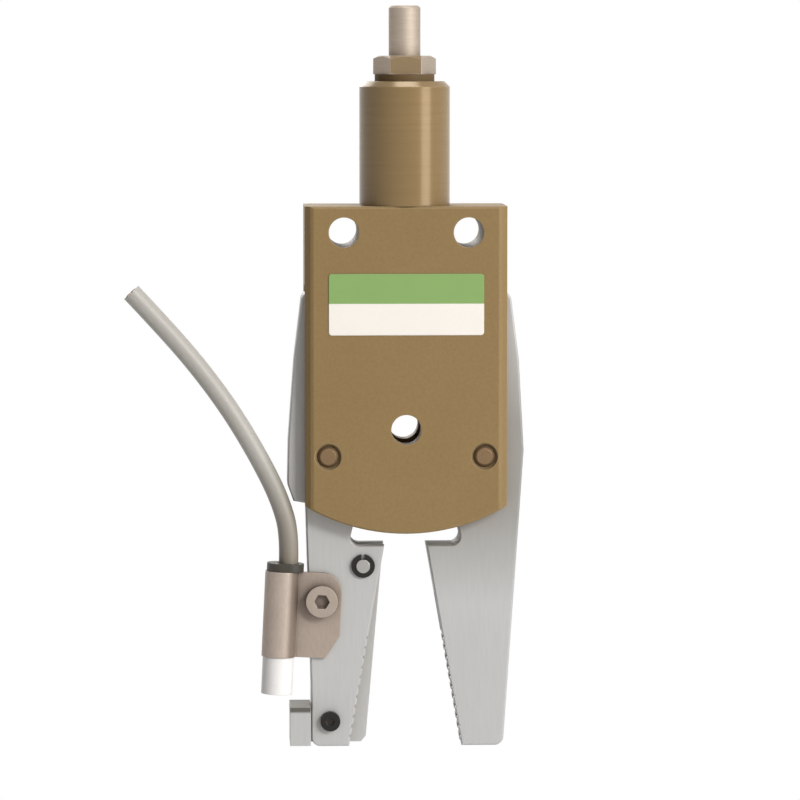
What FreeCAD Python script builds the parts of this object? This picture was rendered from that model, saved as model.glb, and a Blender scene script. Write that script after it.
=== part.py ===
import FreeCAD, Part
import math
import os
import re
import Sketcher

# Pneumatic sprue gripper, drawn with its jaws open and no air on the piston.
# The origin is on the axis of the clamp shank, level with the top face of the body.
# X runs from jaw to jaw, -Y is the labelled front and +Z points up the shank.  All sizes are in mm.

SIZES = [
    ("body_width", "44.5", "across the body"),
    ("body_depth", "20", "front face to back face"),
    ("body_height", "72.1", "top face to the lowest point of the rounded end"),
    ("body_end_radius", "43.5", "radius of the rounded lower end"),
    ("body_edge", "1.5", "chamfer on the upright edges"),
    ("body_rim", "0.4", "chamfer round the front, back and top faces"),
    ("bridge_height", "17.5", "solid part of the body above the jaw slot"),
    ("bolt_hole_dia", "6.6", "through holes for M6 bolts"),
    ("top_hole_half_span", "13.7", "upper holes, from the axis"),
    ("top_hole_drop", "5.7", "upper holes, below the top face"),
    ("middle_hole_drop", "49.1", "middle hole, below the top face"),
    ("shank_dia", "20", "clamp shank"),
    ("shank_height", "27.3", "shank above the body"),
    ("shank_edge", "1.2", "chamfer round the top of the shank"),
    ("shank_thread_dia", "16", "threaded end of the shank"),
    ("shank_thread_depth", "8", "threaded end inside the body"),
    ("bore_dia", "13", "cylinder bore"),
    ("end_wall", "6", "closed end of the cylinder"),
    ("port_dia", "8", "thread of the air fitting"),
    ("port_depth", "4.5", "length of that thread"),
    ("seal_height", "1.5", "sealing washer under the hexagon"),
    ("seal_dia", "13.2", "sealing washer"),
    ("hex_flats", "12", "hexagon across flats"),
    ("hex_height", "4.1", "hexagon"),
    ("stem_dia", "7", "stem for the air hose"),
    ("stem_length", "11", "stem above the hexagon"),
    ("air_bore", "4", "bore through the fitting"),
    ("piston_height", "6", "piston"),
    ("piston_top_gap", "0.6", "piston to the closed end at rest"),
    ("piston_seal_height", "2.2", "lip seal"),
    ("piston_seal_depth", "1.5", "groove of the lip seal"),
    ("running_gap", "0.05", "radial clearance of pins, rod and piston"),
    ("rod_dia", "6", "piston rod"),
    ("rod_stud_dia", "4", "threaded ends of the rod"),
    ("rod_stud_length", "7", "threaded end inside the wedge"),
    ("rod_bush_dia", "9", "guide bush of the rod"),
    ("return_wire", "1.2", "wire of the return spring"),
    ("return_mean_dia", "10", "mean diameter of the return spring"),
    ("return_turns", "6", "turns of the return spring"),
    ("wedge_half_angle", "30", "flank of the wedge from the axis, degrees"),
    ("wedge_tip_half", "1.5", "half width of the blunt tip"),
    ("wedge_top_half", "8.6", "half width of the top"),
    ("wedge_depth", "6", "wedge and rollers, front to back"),
    ("wedge_pin_dia", "2", "cross pin that locks the wedge"),
    ("roller_half_span", "7.5", "roller axis from the gripper's axis"),
    ("roller_drop", "32.5", "roller axis below the top face"),
    ("roller_dia", "8", "rollers"),
    ("roller_gap", "0.15", "roller to wedge flank, jaws open"),
    ("roller_pin_dia", "3", "pins of the rollers"),
    ("fork_gap", "0.2", "side clearance of the wedge in the forks"),
    ("jaw_thickness", "10", "jaws, front to back"),
    ("jaw_side_gap", "0.2", "jaw to the wall of the body slot"),
    ("pivot_inset", "5.05", "jaw pivots from the sides of the body"),
    ("pivot_drop", "55", "jaw pivots below the top face"),
    ("pivot_pin_dia", "5", "jaw pivot pins"),
    ("pivot_pin_edge", "0.8", "chamfer on the ends of those pins"),
    ("pivot_ring_dia", "5.8", "recess round the pin ends"),
    ("pivot_ring_depth", "0.8", "depth of that recess"),
    ("pivot_bush_dia", "7", "plain bushes in the jaws"),
    ("arm_top_gap", "1.5", "upper end of the jaw arms below the bridge"),
    ("arm_top_outside", "6", "outer edge at the upper end, out from the pivot"),
    ("arm_top_in", "9", "inner edge at the upper end"),
    ("fork_in", "4", "inner edge of the fork at the roller"),
    ("arm_outside", "9", "widest place, out from the pivot"),
    ("neck_inside", "6.9", "inner edge beside the pivot, in from the pivot"),
    ("shoulder_gap", "3.1", "shoulder below the body"),
    ("shoulder_in", "4.7", "inner end of the shoulder"),
    ("shoulder_flare", "2.4", "outer end of the shoulder, out from the neck"),
    ("finger_length", "44.8", "shoulder to the tip of the jaws"),
    ("tip_in", "12.5", "gripping edge at the tip, jaws open"),
    ("tip_outside", "4.5", "outer edge at the tip, out from the pivot"),
    ("side_step", "0.8", "left jaw slimmer than the right one, beside the sensor"),
    ("tip_round", "2", "outer corner of the tip"),
    ("jaw_rim", "0.3", "chamfer round the faces of the jaws"),
    ("tooth_pitch", "2.2", "teeth on the gripping edges"),
    ("tooth_depth", "0.55", "depth of the teeth"),
    ("jaw_spring_below", "8.2", "opening spring below the pivots"),
    ("jaw_spring_wire", "0.9", "wire of the opening spring"),
    ("jaw_spring_mean_dia", "5", "mean diameter of the opening spring"),
    ("jaw_spring_turns", "9", "turns of the opening spring"),
    ("jaw_spring_pocket", "3.4", "depth of the spring pockets"),
    ("lever_half_span", "9.4", "sensing lever pivot from the axis"),
    ("lever_below", "4.5", "sensing lever pivot below the shoulder"),
    ("lever_thickness", "3", "sensing lever"),
    ("lever_side_gap", "0.2", "lever to the cheeks of the jaw"),
    ("lever_boss_radius", "4.1", "round upper end of the lever"),
    ("lever_nose", "8.7", "nose of the lever from the axis"),
    ("lever_pin_dia", "3", "lever pin"),
    ("clip_dia", "5.2", "retaining rings on the lever pin"),
    ("clip_thickness", "0.7", "retaining rings"),
    ("clip_gap", "0.7", "opening of the retaining rings"),
    ("clip_groove_dia", "2.3", "groove of the retaining rings"),
    ("flag_gap", "0.15", "target head of the lever, out from the tip"),
    ("flag_width", "4.6", "target head, across"),
    ("flag_above", "9.1", "target head, upper side above the tip"),
    ("lever_lift", "0.5", "target head and lever, lower side above the tip"),
    ("flag_front", "7.5", "target head in front of the middle plane"),
    ("flag_back", "4", "target head behind the middle plane"),
    ("lever_spring_below", "17", "lever spring below the lever pivot"),
    ("lever_spring_wire", "0.4", "wire of the lever spring"),
    ("lever_spring_mean_dia", "2.3", "mean diameter of the lever spring"),
    ("lever_spring_turns", "5", "turns of the lever spring"),
    ("stop_inset", "5", "stop screw in from the outer edge of the tip"),
    ("stop_above", "5.7", "stop screw above the tip"),
    ("stop_dia", "3", "stop screw"),
    ("stop_head_dia", "4.4", "head of the stop screw"),
    ("stop_head_height", "1.4", "head of the stop screw"),
    ("stop_travel", "2.7", "travel of the lever at the stop screw"),
    ("sensor_tilt", "2.8", "lean of the sensor, degrees"),
    ("clamp_inset", "3.1", "clamp screw in from the outer edge of the tip"),
    ("clamp_under", "12.1", "clamp screw below the shoulder"),
    ("clamp_screw_dia", "4", "clamp screw"),
    ("clamp_head_dia", "7", "head of the clamp screw"),
    ("clamp_head_height", "2.4", "head of the clamp screw"),
    ("clamp_socket", "3", "hexagon socket across flats"),
    ("clamp_sheet", "0.5", "strip the clamp is bent from"),
    ("clamp_above", "6.2", "upper end of the clamp above its screw"),
    ("clamp_below", "12.8", "lower end of the clamp below its screw"),
    ("clamp_ear_radius", "4.4", "round upper corner of the clamp ear"),
    ("clamp_corner", "3", "cut corner of the clamp ear"),
    ("sensor_offset", "9", "sensor axis from the clamp screw"),
    ("sensor_dia", "6.5", "sensor"),
    ("sensor_tip_rim", "0.2", "plastic end outside the line of the barrel"),
    ("sensor_tip_length", "8.3", "plastic end of the sensor"),
    ("cap_height", "1.8", "end cap of the sensor"),
    ("cap_width", "8.2", "end cap across"),
    ("cable_offset", "7.7", "cable outlet from the clamp screw"),
    ("cable_dia", "4.3", "sensor cable"),
    ("label_width", "34.1", "name plate sticker"),
    ("label_height", "13.5", "name plate sticker"),
    ("label_thickness", "0.2", "name plate sticker"),
    ("label_drop", "21.5", "middle of the sticker below the top face"),
]
ALIASES = {alias for alias, value, note in SIZES}

# Heights, widths and places that several pieces share, spelt out in sizes.
PLACES = {
    "body_half": "(body_width / 2)",
    "body_side_end": "(body_end_radius - body_height - sqrt(body_end_radius ^ 2 - body_half ^ 2))",
    "slot_half": "(jaw_thickness / 2 + jaw_side_gap)",
    "hex_bottom": "(shank_height + seal_height)",
    "hex_top": "(hex_bottom + hex_height)",
    "stem_top": "(hex_top + stem_length)",
    "bore_top": "(shank_height - end_wall)",
    "piston_top": "(bore_top - piston_top_gap)",
    "piston_bottom": "(piston_top - piston_height)",
    "piston_radius": "(bore_dia / 2 - running_gap)",
    "groove_radius": "(piston_radius - piston_seal_depth)",
    "groove_low": "(piston_bottom + piston_height / 2 - piston_seal_height / 2)",
    "groove_high": "(groove_low + piston_seal_height)",
    "roller_reach": "((roller_dia / 2 + roller_gap) / cos(wedge_half_angle))",
    "wedge_point": "(-roller_drop - (roller_half_span - roller_reach) / tan(wedge_half_angle))",
    "wedge_bottom": "(wedge_point + wedge_tip_half / tan(wedge_half_angle))",
    "wedge_top": "(wedge_point + wedge_top_half / tan(wedge_half_angle))",
    "wedge_pin_height": "(wedge_top - rod_stud_length / 2)",
    "pivot_half_span": "(body_half - pivot_inset)",
    "arm_top_drop": "(bridge_height + arm_top_gap)",
    "arm_top_out": "(pivot_half_span + arm_top_outside)",
    "arm_bulge_out": "(pivot_half_span + arm_outside)",
    "neck_in": "(pivot_half_span - neck_inside)",
    "shoulder_drop": "(body_height + shoulder_gap)",
    "shoulder_out": "(neck_in + shoulder_flare)",
    "tip_drop": "(shoulder_drop + finger_length)",
    "tip_out": "(pivot_half_span + tip_outside)",
    "face_slope": "((tip_in - shoulder_in) / finger_length)",
    "jaw_spring_drop": "(pivot_drop + jaw_spring_below)",
    "jaw_spring_half": "(neck_in + jaw_spring_pocket)",
    "lever_drop": "(shoulder_drop + lever_below)",
    "lever_out": "(lever_half_span + lever_boss_radius)",
    "lever_back": "(lever_out + 0.1)",
    "lever_slot_half": "(lever_thickness / 2 + lever_side_gap)",
    "lever_slot_out": "(lever_out + 2.7)",
    "lever_slot_step": "(flag_top_drop - 7.4)",
    "lever_spring_drop": "(lever_drop + lever_spring_below)",
    "lever_spring_out": "(lever_slot_out + 3)",
    "lever_pin_end": "(jaw_thickness / 2 + clip_thickness + 0.6)",
    "flag_in": "(tip_out - side_step + flag_gap)",
    "flag_out": "(flag_in + flag_width)",
    "flag_top_drop": "(tip_drop - flag_above)",
    "flag_bottom_drop": "(tip_drop - lever_lift)",
    "stop_half_span": "(tip_out - stop_inset)",
    "stop_drop": "(tip_drop - stop_above)",
    "stop_room": "(stop_dia / 2 + 0.5)",
    "stop_slot_drop": "(stop_drop + 0.3)",
    "clamp_half_span": "(tip_out - clamp_inset)",
    "clamp_drop": "(shoulder_drop + clamp_under)",
    "ear_rise": "(clamp_above - clamp_ear_radius)",
    "sensor_plane": "(-jaw_thickness / 2 - clamp_sheet)",
    "sensor_inside": "(sensor_dia / 2 - 0.6)",
    "sensor_end": "(-clamp_below - sensor_tip_length)",
    "cap_top": "(clamp_above + cap_height)",
    "cap_middle": "(-(sensor_offset + cable_offset) / 2)",
    "cap_round": "(cap_width / 2 - sensor_dia / 2)",
    "cable_start": "(cap_top - 0.7)",
}

UP = FreeCAD.Vector(0, 0, 1)
ACROSS = FreeCAD.Vector(1, 0, 0)
BACK = FreeCAD.Vector(0, 1, 0)

doc = FreeCAD.newDocument("sprue_gripper")
sheet = doc.addObject("Spreadsheet::Sheet", "sizes")
for row, (alias, value, note) in enumerate(SIZES, start=1):
    sheet.set(f"A{row}", note)
    sheet.set(f"B{row}", value)
    sheet.setAlias(f"B{row}", alias)
doc.recompute()

nodes = []


def sized(expression):
    """The expression with its places spelt out and every size's name pointing at its cell."""
    def spelt(match):
        name = match[0]
        if name in PLACES:
            return sized(PLACES[name])
        return f"sizes.{name}" if name in ALIASES else name
    return re.sub(r"[a-z][a-z_]*", spelt, expression)


def value_of(expression):
    """What an expression in sizes comes to."""
    return float(sheet.evalExpression(sized(expression)))


def bind(item, **sizes):
    for name, expression in sizes.items():
        item.setExpression(name, sized(expression))
    return item


def place(item, at, axis=UP, angle="0"):
    """Puts an object at a point, turned about an axis, all bound to the sheet."""
    item.Placement = FreeCAD.Placement(FreeCAD.Vector(0, 0, 0), FreeCAD.Rotation(axis, 1))
    for letter, expression in zip("xyz", at):
        item.setExpression(f"Placement.Base.{letter}", sized(expression))
    item.setExpression("Placement.Rotation.Angle", sized(angle))
    return item


def cylinder(name, radius, height, at, along="z"):
    """A cylinder that starts at a point and runs along one axis."""
    item = bind(doc.addObject("Part::Cylinder", name), Radius=radius, Height=height)
    axis, angle = {"x": (BACK, "90"), "y": (ACROSS, "-90"), "z": (UP, "0")}[along]
    return place(item, at, axis, angle)


def box(name, low, high):
    """A box between two corners."""
    lengths = [f"({b}) - ({a})" for a, b in zip(low, high)]
    item = bind(doc.addObject("Part::Box", name), Length=lengths[0], Width=lengths[1], Height=lengths[2])
    return place(item, low)


def prism(name, sides, radius, height):
    item = bind(doc.addObject("Part::Prism", name), Circumradius=radius, Height=height)
    item.Polygon = sides
    return item


def fuse(name, *pieces):
    item = doc.addObject("Part::MultiFuse", name)
    item.Shapes = list(pieces)
    return item


def cut(name, base, *tools):
    item = doc.addObject("Part::Cut", name)
    item.Base = base
    item.Tool = tools[0] if len(tools) == 1 else fuse(f"{name}_tools", *tools)
    return item


def sketch_in(body, name, points):
    """A closed outline on the body's XZ plane, each corner tied to the sheet.

    A point is (x, z), or (x, z, radius) where an arc starts that bulges outwards.
    The points run anticlockwise as seen from the front."""
    sketch = body.newObject("Sketcher::SketchObject", name)
    sketch.AttachmentSupport = [(next(f for f in body.Origin.OriginFeatures if f.Role == "XZ_Plane"), "")]
    sketch.MapMode = "FlatFace"
    spots = [FreeCAD.Vector(value_of(point[0]), value_of(point[1]), 0) for point in points]
    for index, point in enumerate(points):
        start = spots[index]
        end = spots[(index + 1) % len(spots)]
        if len(point) == 2:
            sketch.addGeometry(Part.LineSegment(start, end))
            continue
        radius = value_of(point[2])
        half = (end - start) / 2
        left = FreeCAD.Vector(-half.y, half.x, 0).normalize()
        centre = start + half + left * math.sqrt(radius ** 2 - half.Length ** 2)
        first = math.atan2(start.y - centre.y, start.x - centre.x)
        last = math.atan2(end.y - centre.y, end.x - centre.x)
        last += 2 * math.pi if last < first else 0
        sketch.addGeometry(Part.ArcOfCircle(Part.Circle(centre, UP, radius), first, last))
    for index, point in enumerate(points):
        following = (index + 1) % len(points)
        sketch.addConstraint(Sketcher.Constraint("Coincident", index, 2, following, 1))
        across = Sketcher.Constraint("DistanceX", -1, 1, index, 1, spots[index].x)
        upward = Sketcher.Constraint("DistanceY", -1, 1, index, 1, spots[index].y)
        for constraint, expression in zip((across, upward), point):
            number = sketch.addConstraint(constraint)
            sketch.setExpression(f"Constraints[{number}]", sized(expression))
        if len(point) == 3:
            number = sketch.addConstraint(Sketcher.Constraint("Radius", index, value_of(point[2])))
            sketch.setExpression(f"Constraints[{number}]", sized(point[2]))
    return sketch


def plate(name, points, thickness):
    """A body made by padding an outline to both sides of the middle plane."""
    body = doc.addObject("PartDesign::Body", name)
    pad = body.newObject("PartDesign::Pad", f"{name}_pad")
    pad.Profile = sketch_in(body, f"{name}_outline", points)
    pad.SideType = "Symmetric"
    bind(pad, Length=thickness)
    body.Tip = pad
    doc.recompute()
    return body


def turned(name, points):
    """A body made by turning half a profile about the Z axis."""
    body = doc.addObject("PartDesign::Body", name)
    sketch = sketch_in(body, f"{name}_profile", points)
    turn = body.newObject("PartDesign::Revolution", f"{name}_turn")
    turn.Profile = sketch
    turn.ReferenceAxis = (sketch, ["V_Axis"])
    turn.Angle = 360
    body.Tip = turn
    doc.recompute()
    return body


def dress(body, kind, name, size, wanted):
    """Rounds or chamfers the edges of a body that a test picks out."""
    previous = body.Tip
    picked = [f"Edge{i}" for i, edge in enumerate(previous.Shape.Edges, start=1) if wanted(edge)]
    feature = body.newObject(f"PartDesign::{kind}", name)
    feature.Base = (previous, picked)
    bind(feature, **{"Radius" if kind == "Fillet" else "Size": size})
    body.Tip = feature
    doc.recompute()
    return body


def upright_along(axis):
    """A test for straight edges that run along one axis."""
    def wanted(edge):
        straight = isinstance(edge.Curve, Part.Line)
        return straight and abs(edge.tangentAt(edge.FirstParameter).dot(axis)) > 0.999
    return wanted


def corner_at(x, z):
    """A test for the front-to-back edge at one corner of an outline."""
    def wanted(edge):
        middle = edge.CenterOfMass
        near = abs(middle.x - value_of(x)) < 0.01 and abs(middle.z - value_of(z)) < 0.01
        return near and upright_along(BACK)(edge)
    return wanted


def rim_at(half_depth):
    """A test for the edges round the front and back faces of a plate."""
    def wanted(edge):
        off = [abs(abs(corner.Y) - value_of(half_depth)) for corner in edge.Vertexes]
        return max(off) < 0.01 and not upright_along(BACK)(edge)
    return wanted


def coil(name, mean_dia, wire, turns, start, length, along="z"):
    """A compression spring, its length taken over the wire."""
    helix = doc.addObject("Part::Helix", f"{name}_line")
    bind(helix, Radius=f"({mean_dia}) / 2", Height=f"({length}) - ({wire})")
    bind(helix, Pitch=f"(({length}) - ({wire})) / ({turns})")
    section = bind(doc.addObject("Part::Circle", f"{name}_section"), Radius=f"({wire}) / 2")
    x, y, z = start
    if along == "z":
        base = (x, y, f"({z}) + ({wire}) / 2")
        place(helix, base)
        place(section, (f"({x}) + ({mean_dia}) / 2", y, base[2]), ACROSS, "90")
    else:
        base = (f"({x}) + ({wire}) / 2", y, z)
        place(helix, base, BACK, "90")
        place(section, (base[0], y, f"({z}) - ({mean_dia}) / 2"), ACROSS, "90")
    spring = doc.addObject("Part::Sweep", name)
    spring.Sections = [section]
    spring.Spine = (helix, ["Edge1"])
    spring.Solid = True
    spring.Frenet = True
    return spring


def node(label, item):
    """Marks an object as one finished piece."""
    item.Label = label
    nodes.append(item)
    return item


# Body: a slotted block with a rounded lower end, two upper holes and one middle hole for bolts.
block = plate("block", [
    ("-body_half", "body_side_end", "body_end_radius"),
    ("body_half", "body_side_end"),
    ("body_half", "0"),
    ("-body_half", "0"),
], "body_depth")
dress(block, "Chamfer", "block_edges", "body_edge", upright_along(UP))
dress(block, "Chamfer", "block_rim", "body_rim", rim_at("body_depth / 2"))
through = ("-body_depth", "2 * body_depth")
body_tools = [
    box("jaw_slot", ("-body_width", "-slot_half", "-2 * body_height"),
        ("body_width", "slot_half", "-bridge_height")),
    cylinder("shank_thread", "shank_thread_dia / 2", "shank_thread_depth + 1",
             ("0", "0", "-shank_thread_depth")),
    cylinder("bush_seat", "rod_bush_dia / 2", "bridge_height + 1", ("0", "0", "-bridge_height - 1")),
    cylinder("middle_hole", "bolt_hole_dia / 2", through[1], ("0", through[0], "-middle_hole_drop"), "y"),
]
for side, sign in (("left", "-"), ("right", "")):
    bolt = (f"{sign}top_hole_half_span", through[0], "-top_hole_drop")
    pivot = f"{sign}pivot_half_span"
    ring_from = "body_depth / 2 - pivot_ring_depth"
    body_tools += [
        cylinder(f"{side}_top_hole", "bolt_hole_dia / 2", through[1], bolt, "y"),
        cylinder(f"{side}_pin_hole", "pivot_pin_dia / 2", through[1],
                 (pivot, through[0], "-pivot_drop"), "y"),
        cylinder(f"{side}_front_ring", "pivot_ring_dia / 2", "pivot_ring_depth + 1",
                 (pivot, "-body_depth / 2 - 1", "-pivot_drop"), "y"),
        cylinder(f"{side}_back_ring", "pivot_ring_dia / 2", "pivot_ring_depth + 1",
                 (pivot, ring_from, "-pivot_drop"), "y"),
    ]
node("body_block", cut("body_cut", block, *body_tools))

# Sticker on the front face.
sticker = box("sticker",
              ("-label_width / 2", "-body_depth / 2 - label_thickness", "-label_drop - label_height / 2"),
              ("label_width / 2", "-body_depth / 2", "-label_drop + label_height / 2"))
node("label", sticker)

# Shank: the air cylinder, closed at the top and screwed into the body.
shank = turned("shank", [
    ("bore_dia / 2", "-shank_thread_depth"),
    ("shank_thread_dia / 2", "-shank_thread_depth"),
    ("shank_thread_dia / 2", "0"),
    ("shank_dia / 2", "0"),
    ("shank_dia / 2", "shank_height - shank_edge"),
    ("shank_dia / 2 - shank_edge", "shank_height"),
    ("port_dia / 2", "shank_height"),
    ("port_dia / 2", "shank_height - port_depth"),
    ("air_bore / 2", "shank_height - port_depth"),
    ("air_bore / 2", "bore_top"),
    ("bore_dia / 2", "bore_top"),
])
node("clamp_shank", shank)

# Air fitting with its sealing washer.
hexagon = prism("hexagon", 6, "hex_flats / sqrt(3)", "hex_height")
place(hexagon, ("0", "0", "hex_bottom"))
corner_cone = turned("corner_cone", [
    ("0", "hex_bottom"),
    ("0.7 * hex_flats", "hex_bottom"),
    ("0.7 * hex_flats", "hex_top - 0.22 * hex_flats * tan(30)"),
    ("0.48 * hex_flats", "hex_top"),
    ("0", "hex_top"),
])
hex_trimmed = doc.addObject("Part::MultiCommon", "hex_trimmed")
hex_trimmed.Shapes = [hexagon, corner_cone]
stem = turned("stem", [
    ("air_bore / 2", "shank_height - port_depth"),
    ("port_dia / 2", "shank_height - port_depth"),
    ("port_dia / 2", "hex_bottom"),
    ("stem_dia / 2 + 1", "hex_bottom"),
    ("stem_dia / 2 + 1", "hex_top"),
    ("stem_dia / 2", "hex_top"),
    ("stem_dia / 2", "stem_top - 0.5"),
    ("stem_dia / 2 - 0.5", "stem_top"),
    ("air_bore / 2", "stem_top"),
])
air_way = cylinder("air_way", "air_bore / 2", "hex_height + 2", ("0", "0", "hex_bottom - 1"))
node("air_fitting", cut("fitting_bored", fuse("fitting_whole", hex_trimmed, stem), air_way))
node("port_seal", turned("washer", [
    ("port_dia / 2", "shank_height"),
    ("seal_dia / 2", "shank_height"),
    ("seal_dia / 2", "hex_bottom"),
    ("port_dia / 2", "hex_bottom"),
]))

# Piston with its seal, rod, guide bush and return spring.
node("piston", turned("piston_disc", [
    ("rod_stud_dia / 2", "piston_bottom"),
    ("piston_radius", "piston_bottom"),
    ("piston_radius", "groove_low"),
    ("groove_radius", "groove_low"),
    ("groove_radius", "groove_high"),
    ("piston_radius", "groove_high"),
    ("piston_radius", "piston_top"),
    ("rod_stud_dia / 2", "piston_top"),
]))
node("piston_seal", turned("lip_seal", [
    ("groove_radius", "groove_low"),
    ("piston_radius - 0.4", "groove_low"),
    ("bore_dia / 2 - running_gap / 2", "groove_high"),
    ("groove_radius", "groove_high"),
]))
rod_long = cylinder("rod_long", "rod_dia / 2", "piston_bottom - wedge_top", ("0", "0", "wedge_top"))
rod_upper = cylinder("rod_upper", "rod_stud_dia / 2", "piston_height + 1", ("0", "0", "piston_bottom - 1"))
rod_lower = cylinder("rod_lower", "rod_stud_dia / 2", "rod_stud_length + 1",
                     ("0", "0", "wedge_top - rod_stud_length"))
pin_way = cylinder("pin_way", "wedge_pin_dia / 2", "2 * wedge_depth",
                   ("0", "-wedge_depth", "wedge_pin_height"), "y")
node("piston_rod", cut("rod_drilled", fuse("rod_whole", rod_long, rod_upper, rod_lower), pin_way))
node("rod_bush", turned("bush", [
    ("rod_dia / 2 + running_gap", "-bridge_height"),
    ("rod_bush_dia / 2", "-bridge_height"),
    ("rod_bush_dia / 2", "-shank_thread_depth"),
    ("rod_dia / 2 + running_gap", "-shank_thread_depth"),
]))
node("return_spring", coil("return_coil", "return_mean_dia", "return_wire", "return_turns",
                           ("0", "0", "-shank_thread_depth"), "piston_bottom + shank_thread_depth"))

# Wedge that spreads the jaw arms, pinned to the rod.
wedge = plate("wedge", [
    ("-wedge_tip_half", "wedge_bottom"),
    ("wedge_tip_half", "wedge_bottom"),
    ("wedge_top_half", "wedge_top"),
    ("-wedge_top_half", "wedge_top"),
], "wedge_depth")
wedge_stud = cylinder("wedge_stud", "rod_stud_dia / 2", "rod_stud_length + 1",
                      ("0", "0", "wedge_top - rod_stud_length"))
wedge_way = cylinder("wedge_way", "wedge_pin_dia / 2", "2 * wedge_depth",
                     ("0", "-wedge_depth", "wedge_pin_height"), "y")
node("drive_wedge", cut("wedge_drilled", wedge, wedge_stud, wedge_way))
node("wedge_pin", cylinder("cross_pin", "wedge_pin_dia / 2", "wedge_depth",
                           ("0", "-wedge_depth / 2", "wedge_pin_height"), "y"))


def jaw(side, outer):
    """One jaw: fork for the roller above the pivot, toothed finger below it.

    Gives the padded body and the list of what is cut from it."""
    sign = "-" if side == "left" else ""
    inner = [
        ("tip_in", "-tip_drop"),
        ("shoulder_in", "-shoulder_drop"),
        ("shoulder_out", "-shoulder_drop"),
        ("neck_in", "-shoulder_drop + 9.5"),
        ("neck_in", "-pivot_drop + 4"),
        ("neck_in + 0.7", "-roller_drop - 10"),
        ("fork_in", "-roller_drop - 3.5"),
        ("fork_in", "-roller_drop + 3.5"),
        ("arm_top_in", "-arm_top_drop"),
    ]
    points = [(f"{sign}({x})", z) for x, z in outer + inner[::-1]]
    body = plate(f"{side}_plate", points[::-1] if sign else points, "jaw_thickness")
    rounds = [
        (outer[0][0], "-tip_drop"),
        ("shoulder_out", "-shoulder_drop"),
        (outer[-1][0], "-arm_top_drop"),
    ]
    for number, (x, z) in enumerate(rounds):
        dress(body, "Fillet", f"{side}_round_{number}", "tip_round", corner_at(f"{sign}({x})", z))
    dress(body, "Chamfer", f"{side}_rim", "jaw_rim", rim_at("jaw_thickness / 2"))
    fork = "(wedge_depth / 2 + fork_gap)"
    seat = f"{sign}(roller_half_span + roller_dia / 2 + 0.6)"
    seat_from, seat_to = (seat, "body_width") if sign else ("-body_width", seat)
    pocket_from = "-neck_in - jaw_spring_pocket" if sign else "neck_in - 5"
    tools = [
        box(f"{side}_fork", (seat_from, f"-{fork}", "-roller_drop - roller_dia / 2 - 1"),
            (seat_to, fork, "0")),
        cylinder(f"{side}_roller_hole", "roller_pin_dia / 2", "2 * jaw_thickness",
                 (f"{sign}roller_half_span", "-jaw_thickness", "-roller_drop"), "y"),
        cylinder(f"{side}_bush_hole", "pivot_bush_dia / 2", "2 * jaw_thickness",
                 (f"{sign}pivot_half_span", "-jaw_thickness", "-pivot_drop"), "y"),
        cylinder(f"{side}_spring_pocket", "jaw_spring_mean_dia / 2 + jaw_spring_wire / 2 + 0.3",
                 "jaw_spring_pocket + 5", (pocket_from, "0", "-jaw_spring_drop"), "x"),
    ]
    for number in range(1, 12):
        drop = f"(tip_drop - {number} * tooth_pitch)"
        x = f"{sign}(shoulder_in + ({drop} - shoulder_drop) * face_slope - tooth_pitch / 2 + tooth_depth)"
        tooth = prism(f"{side}_tooth_{number}", 4, "tooth_pitch / 2", "2 * jaw_thickness")
        tools.append(place(tooth, (x, "jaw_thickness", f"-{drop}"), ACROSS, "90"))
    return body, tools


# Jaws.  The left one carries the sensor, so its outer edge steps in to let the cable past.
right_outer = [
    ("tip_out", "-tip_drop"),
    ("arm_bulge_out - 0.8", "-pivot_drop - 11"),
    ("arm_bulge_out", "-pivot_drop + 1"),
    ("arm_bulge_out - 1.1", "-pivot_drop + 21"),
    ("arm_top_out", "-arm_top_drop"),
]
left_outer = [
    ("tip_out - side_step", "-tip_drop"),
    ("tip_out - side_step", "-tip_drop + 13"),
    ("tip_out - side_step + 1.2", "-pivot_drop - 10.7"),
    ("arm_bulge_out - 1.4", "-pivot_drop - 10.2"),
    ("arm_bulge_out - 0.1", "-pivot_drop - 6.5"),
    ("arm_bulge_out - 0.3", "-pivot_drop + 3"),
    ("arm_bulge_out - 1.6", "-pivot_drop + 21"),
    ("arm_top_out - 0.4", "-arm_top_drop"),
]
left_body, left_tools = jaw("left", left_outer)
left_tools += [
    box("lever_slot", ("-lever_slot_out", "-lever_slot_half", "-tip_drop"),
        ("5", "lever_slot_half", "1 - shoulder_drop")),
    box("flag_slot", ("-body_width", "-lever_slot_half", "-tip_drop - 5"),
        ("5", "lever_slot_half", "-lever_slot_step")),
    cylinder("lever_spring_pocket", "lever_spring_mean_dia / 2 + lever_spring_wire / 2 + 0.25", "4",
             ("-lever_spring_out", "0", "-lever_spring_drop"), "x"),
    cylinder("lever_pin_hole", "lever_pin_dia / 2", "2 * jaw_thickness",
             ("-lever_half_span", "-jaw_thickness", "-lever_drop"), "y"),
    cylinder("stop_hole", "stop_dia / 2", "2 * jaw_thickness",
             ("-stop_half_span", "-jaw_thickness", "-stop_drop"), "y"),
    cylinder("clamp_hole", "clamp_screw_dia / 2", "jaw_thickness",
             ("-clamp_half_span", "-jaw_thickness + 3", "-clamp_drop"), "y"),
]
node("left_jaw", cut("left_cut", left_body, *left_tools))
right_body, right_tools = jaw("right", right_outer)
nose_slot = doc.addObject("Part::Box", "nose_slot")
bind(nose_slot, Length="5", Width="lever_thickness + 1.4", Height="0.8 * finger_length")
place(nose_slot, ("tip_in - 2", "-lever_thickness / 2 - 0.7", "-tip_drop - 2"), BACK, "-atan(face_slope)")
node("right_jaw", cut("right_cut", right_body, nose_slot, *right_tools))

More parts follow.
